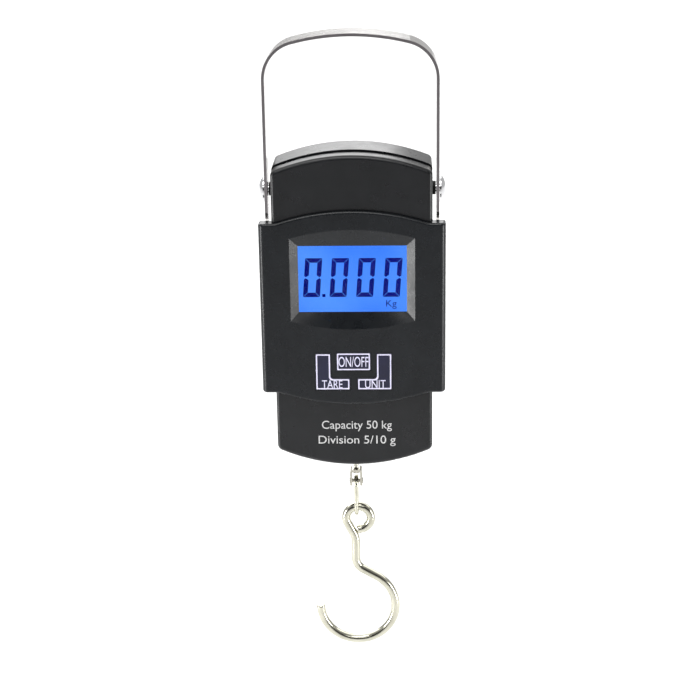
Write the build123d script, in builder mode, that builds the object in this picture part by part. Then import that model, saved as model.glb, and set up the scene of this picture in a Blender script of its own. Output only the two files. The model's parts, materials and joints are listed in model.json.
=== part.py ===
"""Hand-held electronic hanging scale with a folding bail, a lit display, three keys and a swivel hook.

Millimetres, +Z up, front towards -Y. The origin is the inside top of the bail, where a hand or a peg
carries the scale. Heights on the scale are given as distances below the bail's pivot axis.
"""

import os
from math import asin, cos, pi, radians, sin, sqrt

from build123d import *

os.makedirs("parts", exist_ok=True)

# Bail: a bent steel strip
bail_half_width = 32.8
bail_thickness = 1.1
bail_strip_width = 14.0
bail_crown_radius = 88.0
bail_corner_radius = 14.5
bail_tail = 12.4
bail_tail_corner = 5.0
grip_to_pivot = 58.0
pivot_z = -grip_to_pivot

# Casing: a narrow body with a wider, prouder belt across its front
casing_half_width = 30.2
casing_top_corner = -8.9
casing_bottom_corner = 101.5
casing_rise = 6.1
casing_fall = 6.8

# How far a cut runs past the face it opens
cut_margin = 1.0
rear_lift = 0.7
front_corner_radius = 2.6
rear_corner_radius = 2.2
belt_half_width = 35.2
belt_top_corner = 10.4
belt_bottom_corner = 77.4
belt_rise = 4.8
belt_arch_half = 29.0
belt_blend_radius = 8.0
belt_front_y = -14.0
belt_back_y = -8.2
casing_front_y = -12.0
front_rim_y = -5.0
parting_y = -4.0
back_y = 14.0
wall = 2.0
lip_step = 0.8
front_edge_radius = 1.5
panel_edge_radius = 1.0
panel_side_radius = 2.2
back_edge_radius = 2.0

# Display stack, from the front to the circuit board
display_centre = 32.3
display_width = 41.0
display_height = 25.9
bezel_half_width = 23.6
bezel_top_corner = 16.0
bezel_bottom_corner = 48.4
bezel_rise = 3.3
window_size = (45.0, 31.0, 1.0)
window_clearance = 0.2
window_corner_radius = 0.8
glass_size = (44.6, 30.6, 2.0)
glass_front_y = -10.9
glass_bevel = 0.2
backlight_size = (44.6, 27.6, 3.0)
backlight_centre = 31.2
backlight_bevel = 1.0
connector_size = (38.0, 1.8, 3.0)
connector_centre = 46.5
connector_edge_radius = 0.3

# Circuit board
board_front_y = -5.9
board_thickness = 1.6
board_half_width = 26.6
board_corner_radius = 1.5
board_hole_clearance = 0.1
board_top = 11.5
board_bottom = 79.0
board_back_y = board_front_y + board_thickness
board_screw_x = 24.6
board_screw_drops = (14.5, 75.5)
board_screw_radius = 1.0
board_screw_head = (1.9, 1.2)
board_screw_tip_y = -8.9
board_boss_radius = 2.2
board_boss_floor_y = -9.0
chip_bevel = 0.2
chips = ((9.0, 9.0, 1.0, -20.5, 54.0), (5.0, 4.0, 1.0, 20.0, 62.0), (4.0, 6.0, 0.8, 21.0, 47.0))

# Keys
key_proud = 0.2
key_gap = 0.2
key_flange = 0.7
key_bevel = 0.15
key_flange_front_y = -11.9
key_flange_back_y = -11.1
key_stem_radius = 1.6
key_inner_corner = 1.4
key_opening_margin = 1.2
on_off_half_width = 6.5
on_off_top = 61.1
on_off_bottom = 68.2
tare_left = 14.6
tare_leg = 8.8
tare_foot = 1.5
tare_top = 61.4
tare_foot_top = 71.5
tare_bottom = 76.0
key_centres = {"on_off": (0.0, 64.65), "tare": (-10.5, 73.6), "unit": (10.5, 73.6)}
switch_side = 6.0
switch_height = 2.0
switch_bevel = 0.5
switch_well_radius = 1.7
switch_well_depth = 1.5
plunger_radius = 1.6
plunger_bevel = 0.2
plunger_back_y = -7.3
plunger_front_y = -9.0

# Pivot
axle_radius = 2.5
pivot_shoulder_radius = 1.8
pivot_running_gap = 0.06
pivot_thread_radius = 1.5
pivot_thread_depth = 8.0
pivot_head_radius = 4.8
pivot_head_gap = 0.3
pivot_head_height = 2.4
pivot_head_inner_x = bail_half_width + pivot_head_gap
pivot_head_outer_x = pivot_head_inner_x + pivot_head_height
pivot_head_rim = 0.5
slot_length = 4.0
slot_width = 0.9
slot_depth = 1.2
spacer_radius = 2.6
spacer_thickness = 1.3
axle_block = (4.0, 9.0, 8.5)
axle_block_inset = 5.2
axle_block_y = 0.5

# Load cell: an aluminium S-beam with its gauges on the thinned middle beam
cell_half_width = 14.0
cell_half_depth = 4.0
cell_corner_radius = 1.5
cell_top = -6.0
cell_bottom = 38.0
cell_beam_top = 11.0
cell_beam_bottom = 21.0
cell_slot = 1.5
cell_slot_reach = 9.0
cell_hole_radius = 3.4
cell_hole_spacing = 11.0
cell_hole_bridge = 1.6
gauge_size = (5.0, 4.0, 0.25)

# Wires
signal_wire_count = 4
signal_wire_top = 14.0
signal_wire_pitch = 1.2
signal_wire_x = 17.5
signal_wire_radius = 0.45
signal_wire_bend = 1.4
supply_wire_drops = (50.0, 56.0)
supply_wire_y = -2.1
supply_wire_radius = 0.6
supply_wire_bend = 0.9

# Hook shaft and swivel
shaft_radius = 2.0
shaft_top = 30.0
shaft_step = 104.0
shaft_neck_radius = 1.0
shaft_head_radius = 1.5
shaft_head_thickness = 0.8
shaft_head_gap = 0.1
shaft_head_edge = 0.4
nut_flats = 7.0
nut_thickness = 3.2
grommet_radius = 3.2
grommet_bore_radius = 1.5
grommet_bore_depth = 5.0
grommet_recess = 0.2
grommet_flange_gap = 0.15
grommet_flange = (0.6, 0.9)
clevis_top = 114.3
clevis_bottom = 121.7
clevis_half_width = 2.4
clevis_half_depth = 2.5
clevis_side = 0.8
clevis_roof = 1.1
clevis_shoulder_radius = 1.2
clevis_foot_radius = 1.9
swivel_running_gap = 0.05
pin_radius = 0.8
pin_drop = 119.8
pin_head = (1.15, 0.25)

# Link and hook
link_wire_radius = 0.8
link_bend_radius = 2.9
link_slack = 0.05
link_length = 14.05
hook_wire_radius = 1.75
eye_bend_radius = 5.0
eye_offset = 0.7
eye_end_angle = -84.0
eye_exit_angle = 207.0
stem_offset = -0.5
stem_bend_radius = 8.0
throat_bend_radius = 5.5
throat_slope = 30.0
bowl_radius = 15.3
bowl_offset = 0.1
bowl_drop = 175.3
bowl_sweep = 236.0
hook_end_run = 1.2
hook_end_edge = 0.7

# Battery bay for two AAA cells
cell_pack_x = 9.2
battery_radius = 5.25
battery_body = 43.7
battery_nub_radius = 1.9
battery_nub = 0.8
battery_edge_radius = 0.5
bay_half_width = 5.6
bay_top = 46.5
bay_bottom = 98.0
bay_front_y = 1.3
bay_block_front_y = 0.1
bay_block_back_y = 12.2
bay_block_half_width = 18.2
bay_block_top = 43.2
bay_block_bottom = 101.2
shaft_channel_half = 2.4
shaft_channel_back_y = 2.6
battery_y = 6.6
contact_thickness = 0.5
contact_side = 8.0
spring_wire_radius = 0.3
spring_coil_radius = 2.6
spring_turns = 4

# Battery door
door_half_width = 17.0
door_top = 44.5
door_bottom = 100.0
door_front_y = 12.2
door_back_y = 13.9
door_gap = 0.2
door_corner = 1.3
tongue_x = 15.9
tongue_width = 2.0
tongue_rise = 1.8
tongue_step = 1.6
tongue_foot = 2.8
tongue_y = (11.0, 11.9)
tongue_pocket_y = 10.1
tongue_pocket_half = 1.3
tongue_pocket_rise = 2.2
tongue_pocket_foot = 3.6
thumb_recess = (13.0, 8.0, 0.6)
thumb_recess_drop = 93.0
thumb_rib = (11.0, 0.8)
thumb_rib_pitch = 2.0
thumb_rib_count = 4
thumb_rib_back_y = 13.8

# Case screws
case_screw_points = ((19.5, -6.2), (24.0, 94.5))
case_screw_radius = 1.25
case_screw_clearance = 1.4
case_screw_head_radius = 2.3
case_screw_head_height = 1.7
case_screw_head_edge = 0.6
case_slot = (2.4, 0.6, 1.0)
case_screw_tip_y = -9.0
counterbore_radius = 2.6
rear_boss_radius = 3.5
front_boss_radius = 3.0

# Panel pins, pressed through the front shell
panel_pin_x = 26.0
panel_pin_drops = (25.0, 64.0)
panel_pin_radius = 1.0
panel_pin_tip_y = -9.2


def below(drop):
    """Height of a point that lies drop below the pivot axis."""
    return pivot_z - drop


def at_y(y):
    """Sketch plane across the scale at depth y, drawn in X and Z and facing the front."""
    return Plane.XZ.offset(-y)


def prism(outline, rear, front, mode=Mode.ADD):
    """Extrude an X-Z outline from depth rear forward to depth front."""
    with BuildSketch(at_y(rear)) as profile:
        outline()
    extrude(profile.sketch, amount=rear - front, mode=mode)


def casing_outline(margin=0.0, lift=0.0, corner=front_corner_radius):
    """Narrow body: straight sides between an arched top, raised by lift, and an arched bottom."""
    half = casing_half_width - margin
    top = below(casing_top_corner + margin) + lift
    bottom = below(casing_bottom_corner - margin)
    with BuildLine() as edge:
        ThreePointArc((-half, top), (0, top + casing_rise), (half, top))
        Line((half, top), (half, bottom))
        ThreePointArc((half, bottom), (0, bottom - casing_fall), (-half, bottom))
        Line((-half, bottom), (-half, top))
    make_face(edge.edges())
    fillet(vertices(), corner - margin / 2)


def rear_casing_outline(margin=0.0):
    """Rear half of the narrow body, with a taller, squarer top."""
    casing_outline(margin, rear_lift, rear_corner_radius)


def belt_outline():
    """Wide belt: level shoulders that sweep up and down into shallow arches."""
    half = belt_half_width
    top = below(belt_top_corner)
    bottom = below(belt_bottom_corner)
    arch = belt_arch_half
    with BuildLine() as edge:
        ThreePointArc((-arch, top), (0, top + belt_rise), (arch, top))
        Polyline((arch, top), (half, top), (half, bottom), (arch, bottom))
        ThreePointArc((arch, bottom), (0, bottom - belt_rise), (-arch, bottom))
        Polyline((-arch, bottom), (-half, bottom), (-half, top), (-arch, top))
    make_face(edge.edges())
    fillet(vertices().filter_by(lambda v: abs(v.X) < (arch + half) / 2), belt_blend_radius)


def bezel_outline():
    """Mouth of the display recess, bowed at its top and bottom."""
    top = below(bezel_top_corner)
    bottom = below(bezel_bottom_corner)
    half = bezel_half_width
    with BuildLine() as edge:
        ThreePointArc((-half, top), (0, top + bezel_rise), (half, top))
        Line((half, top), (half, bottom))
        ThreePointArc((half, bottom), (0, bottom - bezel_rise), (-half, bottom))
        Line((-half, bottom), (-half, top))
    make_face(edge.edges())


def box_outline(width, height, x, drop):
    """Plain rectangle centred at x, drop below the pivot."""
    with Locations((x, below(drop))):
        Rectangle(width, height)


def span_outline(left, right, top_drop, bottom_drop):
    """Plain rectangle given by its four sides."""
    box_outline(right - left, bottom_drop - top_drop, (left + right) / 2, (top_drop + bottom_drop) / 2)


def disc_outline(radius, points):
    """Equal discs at points given as (x, drop)."""
    with Locations(*[(x, below(drop)) for x, drop in points]):
        Circle(radius)


def on_off_outline(margin=0.0):
    half = on_off_half_width + margin
    span_outline(-half, half, on_off_top - margin, on_off_bottom + margin)


def tare_outline(margin=0.0, side=-1):
    """L-shaped key left of the middle; side=1 turns it into its mirror image."""
    left = side * (tare_left + margin)
    leg = side * (tare_leg - margin)
    foot = side * (tare_foot - margin)
    top = below(tare_top - margin)
    foot_top = below(tare_foot_top - margin)
    bottom = below(tare_bottom + margin)
    with BuildLine() as edge:
        Polyline(
            (left, top),
            (leg, top),
            (leg, foot_top),
            (foot, foot_top),
            (foot, bottom),
            (left, bottom),
            close=True,
        )
    make_face(edge.edges())
    inner = vertices().filter_by(lambda v: abs(v.X - leg) < 0.01 and abs(v.Y - foot_top) < 0.01)
    fillet(inner, key_inner_corner)


def unit_outline(margin=0.0):
    tare_outline(margin, side=1)


key_outlines = {"on_off": on_off_outline, "tare": tare_outline, "unit": unit_outline}


def heading(angle):
    """Unit direction at an angle in degrees from the first sketch axis."""
    return (cos(radians(angle)), sin(radians(angle)))


def mirrored_points(points):
    """Each (x, drop) point on both sides of the middle."""
    return [(side * x, drop) for x, drop in points for side in (-1, 1)]


def bail_outline(inset=0.0):
    """Area enclosed by the bail, shrunk by inset; it runs down past the arms' tails when inset."""
    half = bail_half_width - inset
    crown = bail_thickness - inset
    radius = bail_crown_radius - inset
    spring = crown - radius + sqrt(radius**2 - half**2)
    bottom = below(bail_tail + inset)
    with BuildLine() as edge:
        Line((-half, bottom), (-half, spring))
        ThreePointArc((-half, spring), (0, crown), (half, spring))
        Line((half, spring), (half, bottom))
        Line((half, bottom), (-half, bottom))
    make_face(edge.edges())
    fillet(vertices().group_by(Axis.Y)[-1], bail_corner_radius - inset)


# Bail handle
with BuildPart() as bail_handle:
    prism(bail_outline, bail_strip_width / 2, -bail_strip_width / 2)
    prism(lambda: bail_outline(bail_thickness), bail_strip_width / 2, -bail_strip_width / 2, Mode.SUBTRACT)
    with BuildSketch(Plane.YZ):
        with Locations((0, pivot_z)):
            Circle(pivot_shoulder_radius + pivot_running_gap)
    extrude(amount=bail_half_width + cut_margin, both=True, mode=Mode.SUBTRACT)
    tails = bail_handle.edges().filter_by(Axis.X).group_by(Axis.Z)[0]
    fillet(tails, bail_tail_corner)
bail_handle.part.label = "bail_handle"
export_step(bail_handle.part, "parts/bail_handle.step")

# Pivot screws: shouldered, with a domed cross-slot head
pivot_axis = Axis((0, 0, pivot_z), (1, 0, 0))
dome_height = pivot_head_outer_x - pivot_head_inner_x - pivot_head_rim
dome_radius = (pivot_head_radius**2 + dome_height**2) / (2 * dome_height)
dome_centre_x = pivot_head_outer_x - dome_radius
dome_angle = asin(pivot_head_radius / dome_radius) / 2
with BuildPart() as pivot_screws:
    with BuildSketch(Plane.XZ):
        with BuildLine():
            Polyline(
                (pivot_head_outer_x, pivot_z),
                (casing_half_width - pivot_thread_depth, pivot_z),
                (casing_half_width - pivot_thread_depth, pivot_z + pivot_thread_radius),
                (casing_half_width, pivot_z + pivot_thread_radius),
                (casing_half_width, pivot_z + pivot_shoulder_radius),
                (pivot_head_inner_x, pivot_z + pivot_shoulder_radius),
                (pivot_head_inner_x, pivot_z + pivot_head_radius),
                (pivot_head_inner_x + pivot_head_rim, pivot_z + pivot_head_radius),
            )
            ThreePointArc(
                (pivot_head_inner_x + pivot_head_rim, pivot_z + pivot_head_radius),
                (dome_centre_x + dome_radius * cos(dome_angle), pivot_z + dome_radius * sin(dome_angle)),
                (pivot_head_outer_x, pivot_z),
            )
        make_face()
    revolve(axis=pivot_axis)
    with BuildSketch(Plane.YZ.offset(pivot_head_outer_x)):
        with Locations((0, pivot_z)):
            Rectangle(slot_length, slot_width)
            Rectangle(slot_width, slot_length)
    extrude(amount=-slot_depth, mode=Mode.SUBTRACT)
    mirror(about=Plane.YZ)
pivot_screws.part.label = "pivot_screws"
export_step(pivot_screws.part, "parts/pivot_screws.step")

# Nylon spacers that keep the bail's arms off the casing
with BuildPart() as pivot_spacers:
    with BuildSketch(Plane.YZ.offset(casing_half_width)):
        with Locations((0, pivot_z)):
            Circle(spacer_radius)
            Circle(pivot_shoulder_radius, mode=Mode.SUBTRACT)
    extrude(amount=spacer_thickness)
    mirror(about=Plane.YZ)
pivot_spacers.part.label = "pivot_spacers"
export_step(pivot_spacers.part, "parts/pivot_spacers.step")

# Cross axle, tapped at both ends
with BuildPart() as cross_axle:
    with BuildSketch(Plane.YZ):
        with Locations((0, pivot_z)):
            Circle(axle_radius)
    extrude(amount=casing_half_width, both=True)
    for end in (casing_half_width, -casing_half_width):
        with BuildSketch(Plane.YZ.offset(end)):
            with Locations((0, pivot_z)):
                Circle(pivot_thread_radius)
        extrude(amount=-pivot_thread_depth if end > 0 else pivot_thread_depth, mode=Mode.SUBTRACT)
cross_axle.part.label = "cross_axle"
export_step(cross_axle.part, "parts/cross_axle.step")

# Front shell
case_points = mirrored_points(case_screw_points)
board_points = mirrored_points([(board_screw_x, drop) for drop in board_screw_drops])
pin_points = mirrored_points([(panel_pin_x, drop) for drop in panel_pin_drops])
front_inner_y = casing_front_y + wall
with BuildPart() as front_shell:
    prism(casing_outline, front_rim_y, casing_front_y)
    fillet(front_shell.faces().sort_by(Axis.Y)[0].edges(), front_edge_radius)
    prism(lambda: casing_outline(lip_step), parting_y, front_rim_y)
    prism(lambda: casing_outline(wall), parting_y, front_inner_y, Mode.SUBTRACT)
    prism(lambda: disc_outline(front_boss_radius, case_points), parting_y, front_inner_y)
    prism(lambda: disc_outline(case_screw_radius, case_points), parting_y, case_screw_tip_y, Mode.SUBTRACT)
    prism(lambda: disc_outline(board_boss_radius, board_points), board_front_y, front_inner_y)
    prism(
        lambda: disc_outline(board_screw_radius, board_points),
        board_front_y,
        board_boss_floor_y,
        Mode.SUBTRACT,
    )
    prism(lambda: disc_outline(panel_pin_radius, pin_points), front_inner_y, casing_front_y, Mode.SUBTRACT)
    prism(
        lambda: box_outline(
            window_size[0] + 2 * window_clearance, window_size[1] + 2 * window_clearance, 0, display_centre
        ),
        front_inner_y,
        casing_front_y,
        Mode.SUBTRACT,
    )
    prism(
        lambda: span_outline(
            -tare_left - key_opening_margin,
            tare_left + key_opening_margin,
            on_off_top - key_opening_margin,
            tare_bottom + key_opening_margin,
        ),
        front_inner_y,
        casing_front_y,
        Mode.SUBTRACT,
    )
front_shell.part.label = "front_shell"
export_step(front_shell.part, "parts/front_shell.step")

# Front panel: the belt, which wraps round the front shell, with the display bezel and the key openings
outer_x = casing_half_width + wall
with BuildPart() as front_panel:
    prism(belt_outline, belt_back_y, belt_front_y)
    fillet(front_panel.faces().sort_by(Axis.Y)[0].edges().filter_by(Axis.Z), panel_side_radius)
    front_edges = front_panel.faces().sort_by(Axis.Y)[0].edges()
    arch_edges = front_edges.filter_by(lambda edge: abs((edge % 0.5).X) > 0.5)
    depth_edges = front_panel.edges().filter_by(Axis.Y)
    corner_edges = depth_edges.filter_by(lambda edge: abs(edge.center().X) > outer_x)
    fillet(arch_edges + corner_edges, panel_edge_radius)
    prism(casing_outline, belt_back_y, casing_front_y, Mode.SUBTRACT)
    with BuildSketch(at_y(belt_front_y)):
        bezel_outline()
    with BuildSketch(at_y(casing_front_y)):
        box_outline(display_width, display_height, 0, display_centre)
    loft(mode=Mode.SUBTRACT)
    for outline in key_outlines.values():
        prism(lambda: outline(key_gap), casing_front_y, belt_front_y, Mode.SUBTRACT)
    prism(lambda: disc_outline(panel_pin_radius, pin_points), panel_pin_tip_y, casing_front_y)
front_panel.part.label = "front_panel"
export_step(front_panel.part, "parts/front_panel.step")

# Rear shell with the screw bosses and the battery compartment
back_inner_y = back_y - wall
with BuildPart() as rear_shell:
    prism(rear_casing_outline, back_y, parting_y)
    fillet(rear_shell.faces().sort_by(Axis.Y)[-1].edges(), back_edge_radius)
    prism(lambda: rear_casing_outline(wall), back_inner_y, parting_y, Mode.SUBTRACT)
    prism(lambda: disc_outline(rear_boss_radius, case_points), back_inner_y, parting_y)
    prism(lambda: disc_outline(counterbore_radius, case_points), back_y, 0, Mode.SUBTRACT)
    prism(lambda: disc_outline(case_screw_clearance, case_points), 0, parting_y, Mode.SUBTRACT)
    for side in (-1, 1):
        with BuildSketch(Plane.YZ.offset(side * (casing_half_width - axle_block_inset))):
            with Locations((axle_block_y, pivot_z)):
                Rectangle(axle_block[1], axle_block[2])
        extrude(amount=side * axle_block[0])
    with BuildSketch(Plane.YZ):
        with Locations((0, pivot_z)):
            Circle(axle_radius)
    extrude(amount=casing_half_width + cut_margin, both=True, mode=Mode.SUBTRACT)
    prism(
        lambda: span_outline(-bay_block_half_width, bay_block_half_width, bay_block_top, bay_block_bottom),
        bay_block_back_y,
        bay_block_front_y,
    )
    for x in (-cell_pack_x, cell_pack_x):
        prism(
            lambda: span_outline(x - bay_half_width, x + bay_half_width, bay_top, bay_bottom),
            door_front_y,
            bay_front_y,
            Mode.SUBTRACT,
        )
    prism(
        lambda: span_outline(-shaft_channel_half, shaft_channel_half, bay_block_top, bay_block_bottom),
        shaft_channel_back_y,
        bay_block_front_y,
        Mode.SUBTRACT,
    )
    prism(
        lambda: span_outline(
            -door_half_width - door_gap,
            door_half_width + door_gap,
            door_top - door_gap,
            door_bottom + door_gap,
        ),
        back_y,
        door_front_y,
        Mode.SUBTRACT,
    )
    for side in (-1, 1):
        x = side * tongue_x
        prism(
            lambda: span_outline(
                x - tongue_pocket_half,
                x + tongue_pocket_half,
                door_top - tongue_pocket_rise,
                door_top + tongue_pocket_foot,
            ),
            door_front_y,
            tongue_pocket_y,
            Mode.SUBTRACT,
        )
    with BuildSketch(Plane.XY.offset(below(casing_bottom_corner + casing_fall + cut_margin))):
        Circle(grommet_radius)
    extrude(amount=grommet_bore_depth, mode=Mode.SUBTRACT)
rear_shell.part.label = "rear_shell"
export_step(rear_shell.part, "parts/rear_shell.step")

# Case screws, sunk in the rear shell
with BuildPart() as case_screws:
    prism(lambda: disc_outline(case_screw_head_radius, case_points), case_screw_head_height, 0)
    fillet(case_screws.faces().filter_by(Axis.Y).sort_by(Axis.Y)[-4:].edges(), case_screw_head_edge)
    prism(lambda: disc_outline(case_screw_radius, case_points), 0, case_screw_tip_y)
    with BuildSketch(at_y(case_screw_head_height)):
        with Locations(*[(x, below(drop)) for x, drop in case_points]):
            Rectangle(case_slot[0], case_slot[1])
            Rectangle(case_slot[1], case_slot[0])
    extrude(amount=case_slot[2], mode=Mode.SUBTRACT)
case_screws.part.label = "case_screws"
export_step(case_screws.part, "parts/case_screws.step")

# Battery door with two tongues at its top and a ribbed thumb recess at its bottom
with BuildPart() as battery_door:
    prism(
        lambda: span_outline(-door_half_width, door_half_width, door_top, door_bottom),
        door_back_y,
        door_front_y,
    )
    fillet(battery_door.edges().filter_by(Axis.Y), door_corner)
    for side in (-1, 1):
        x = side * tongue_x
        prism(
            lambda: span_outline(
                x - tongue_width / 2, x + tongue_width / 2, door_top + tongue_step, door_top + tongue_foot
            ),
            door_front_y,
            tongue_y[0],
        )
        prism(
            lambda: span_outline(
                x - tongue_width / 2, x + tongue_width / 2, door_top - tongue_rise, door_top + tongue_foot
            ),
            tongue_y[1],
            tongue_y[0],
        )
    recess_width, recess_height, recess_depth = thumb_recess
    recess_floor_y = door_back_y - recess_depth
    prism(
        lambda: box_outline(recess_width, recess_height, 0, thumb_recess_drop),
        door_back_y,
        recess_floor_y,
        Mode.SUBTRACT,
    )
    for row in range(thumb_rib_count):
        drop = thumb_recess_drop + thumb_rib_pitch * (row - (thumb_rib_count - 1) / 2)
        prism(lambda: box_outline(thumb_rib[0], thumb_rib[1], 0, drop), thumb_rib_back_y, recess_floor_y)
battery_door.part.label = "battery_door"
export_step(battery_door.part, "parts/battery_door.step")

# Display window, glass, backlight and elastomer connector
window_back_y = casing_front_y + window_size[2]
with BuildPart() as display_window:
    prism(
        lambda: box_outline(window_size[0], window_size[1], 0, display_centre),
        window_back_y,
        casing_front_y,
    )
    fillet(display_window.edges().filter_by(Axis.Y), window_corner_radius)
display_window.part.label = "display_window"
export_step(display_window.part, "parts/display_window.step")

glass_back_y = glass_front_y + glass_size[2]
with BuildPart() as display_glass:
    prism(lambda: box_outline(glass_size[0], glass_size[1], 0, display_centre), glass_back_y, glass_front_y)
    chamfer(display_glass.edges().group_by(Axis.Y)[0], glass_bevel)
display_glass.part.label = "display_glass"
export_step(display_glass.part, "parts/display_glass.step")

with BuildPart() as backlight:
    prism(
        lambda: box_outline(backlight_size[0], backlight_size[1], 0, backlight_centre),
        glass_back_y + backlight_size[2],
        glass_back_y,
    )
    chamfer(backlight.edges().filter_by(Axis.Y), backlight_bevel)
backlight.part.label = "backlight"
export_step(backlight.part, "parts/backlight.step")

with BuildPart() as display_connector:
    prism(
        lambda: box_outline(connector_size[0], connector_size[1], 0, connector_centre),
        glass_back_y + connector_size[2],
        glass_back_y,
    )
    fillet(display_connector.edges().filter_by(Axis.X), connector_edge_radius)
display_connector.part.label = "display_connector"
export_step(display_connector.part, "parts/display_connector.step")

# Circuit board with its screws, switches and chips
with BuildPart() as circuit_board:
    prism(
        lambda: span_outline(-board_half_width, board_half_width, board_top, board_bottom),
        board_back_y,
        board_front_y,
    )
    fillet(circuit_board.edges().filter_by(Axis.Y), board_corner_radius)
    prism(
        lambda: disc_outline(board_screw_radius + board_hole_clearance, board_points),
        board_back_y,
        board_front_y,
        Mode.SUBTRACT,
    )
circuit_board.part.label = "circuit_board"
export_step(circuit_board.part, "parts/circuit_board.step")

head_radius, head_height = board_screw_head
with BuildPart() as board_screws:
    prism(lambda: disc_outline(head_radius, board_points), board_back_y + head_height, board_back_y)
    prism(lambda: disc_outline(board_screw_radius, board_points), board_back_y, board_screw_tip_y)
board_screws.part.label = "board_screws"
export_step(board_screws.part, "parts/board_screws.step")

chip_floor_y = board_back_y + chip_bevel
with BuildPart() as board_chips:
    for width, height, thickness, x, drop in chips:
        prism(lambda: box_outline(width, height, x, drop), board_back_y + thickness, board_back_y)
    chip_tops = board_chips.faces().filter_by(Axis.Y).filter_by(lambda face: face.center().Y > chip_floor_y)
    chamfer(chip_tops.edges(), chip_bevel)
board_chips.part.label = "board_chips"
export_step(board_chips.part, "parts/board_chips.step")

switch_front_y = board_front_y - switch_height
switch_floor_y = switch_front_y + switch_well_depth
switch_points = list(key_centres.values())
with BuildPart() as key_switches:
    for x, drop in switch_points:
        prism(lambda: box_outline(switch_side, switch_side, x, drop), board_front_y, switch_front_y)
    chamfer(key_switches.edges().filter_by(Axis.Y), switch_bevel)
    prism(
        lambda: disc_outline(switch_well_radius, switch_points),
        switch_floor_y,
        switch_front_y,
        Mode.SUBTRACT,
    )
key_switches.part.label = "key_switches"
export_step(key_switches.part, "parts/key_switches.step")

# Keys: cap, retaining flange and stem, each with the plunger that it pushes
for key_name, outline in key_outlines.items():
    key_points = [key_centres[key_name]]
    with BuildPart() as key_button:
        prism(outline, key_flange_front_y, belt_front_y - key_proud)
        chamfer(key_button.edges().group_by(Axis.Y)[0], key_bevel)
        prism(lambda: outline(key_flange), key_flange_back_y, key_flange_front_y)
        prism(lambda: disc_outline(key_stem_radius, key_points), plunger_front_y, key_flange_back_y)
    key_button.part.label = f"{key_name}_button"
    export_step(key_button.part, f"parts/{key_name}_button.step")
    with BuildPart() as key_plunger:
        prism(lambda: disc_outline(plunger_radius, key_points), plunger_back_y, plunger_front_y)
        chamfer(key_plunger.edges().group_by(Axis.Y)[-1], plunger_bevel)
    key_plunger.part.label = f"{key_name}_plunger"
    export_step(key_plunger.part, f"parts/{key_name}_plunger.step")

# Load cell
beam_centre = (cell_beam_top + cell_beam_bottom) / 2
hole_points = [(side * cell_hole_spacing / 2, beam_centre) for side in (-1, 1)]
with BuildPart() as load_cell:
    prism(
        lambda: span_outline(-cell_half_width, cell_half_width, cell_top, cell_bottom),
        cell_half_depth,
        -cell_half_depth,
    )
    fillet(load_cell.edges().filter_by(Axis.Y), cell_corner_radius)
    prism(
        lambda: span_outline(-cell_slot_reach, cell_half_width, cell_beam_top - cell_slot, cell_beam_top),
        cell_half_depth,
        -cell_half_depth,
        Mode.SUBTRACT,
    )
    prism(
        lambda: span_outline(
            -cell_half_width, cell_slot_reach, cell_beam_bottom, cell_beam_bottom + cell_slot
        ),
        cell_half_depth,
        -cell_half_depth,
        Mode.SUBTRACT,
    )
    prism(
        lambda: disc_outline(cell_hole_radius, hole_points),
        cell_half_depth,
        -cell_half_depth,
        Mode.SUBTRACT,
    )
    prism(
        lambda: box_outline(cell_hole_spacing, cell_hole_bridge, 0, beam_centre),
        cell_half_depth,
        -cell_half_depth,
        Mode.SUBTRACT,
    )
    with BuildSketch(Plane.YZ):
        with Locations((0, pivot_z)):
            Circle(axle_radius)
    extrude(amount=cell_half_width, both=True, mode=Mode.SUBTRACT)
    with BuildSketch(Plane.XY.offset(below(cell_bottom))):
        Circle(shaft_radius)
    extrude(amount=cell_bottom - shaft_top, mode=Mode.SUBTRACT)
load_cell.part.label = "load_cell"
export_step(load_cell.part, "parts/load_cell.step")

with BuildPart() as strain_gauges:
    gauge_length, gauge_width, gauge_thickness = gauge_size
    for x, _ in hole_points:
        for drop in (cell_beam_top - gauge_thickness / 2, cell_beam_bottom + gauge_thickness / 2):
            prism(
                lambda: box_outline(gauge_length, gauge_thickness, x, drop),
                gauge_width / 2,
                -gauge_width / 2,
            )
strain_gauges.part.label = "strain_gauges"
export_step(strain_gauges.part, "parts/strain_gauges.step")


def wire(points, radius, bend):
    """Insulated wire along straight runs joined by bends."""
    with BuildLine() as route:
        FilletPolyline(*points, radius=bend)
    with BuildSketch(Plane(points[0], z_dir=route.line % 0)) as section:
        Circle(radius)
    sweep(section.sketch, path=route.line)


# Signal wires from the load cell and supply wires from the battery contacts
with BuildPart() as load_cell_wires:
    for index in range(signal_wire_count):
        z = below(signal_wire_top + signal_wire_pitch * index)
        route = [(cell_half_width, 0, z), (signal_wire_x, 0, z), (signal_wire_x, board_back_y, z)]
        wire(route, signal_wire_radius, signal_wire_bend)
load_cell_wires.part.label = "load_cell_wires"
export_step(load_cell_wires.part, "parts/load_cell_wires.step")

with BuildPart() as battery_wires:
    for x in (-cell_pack_x, cell_pack_x):
        upper, lower = below(supply_wire_drops[0]), below(supply_wire_drops[1])
        bends = [(x, supply_wire_y, upper), (x, supply_wire_y, lower)]
        route = [(x, bay_block_front_y, upper), *bends, (x, board_back_y, lower)]
        wire(route, supply_wire_radius, supply_wire_bend)
battery_wires.part.label = "battery_wires"
export_step(battery_wires.part, "parts/battery_wires.step")

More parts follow.
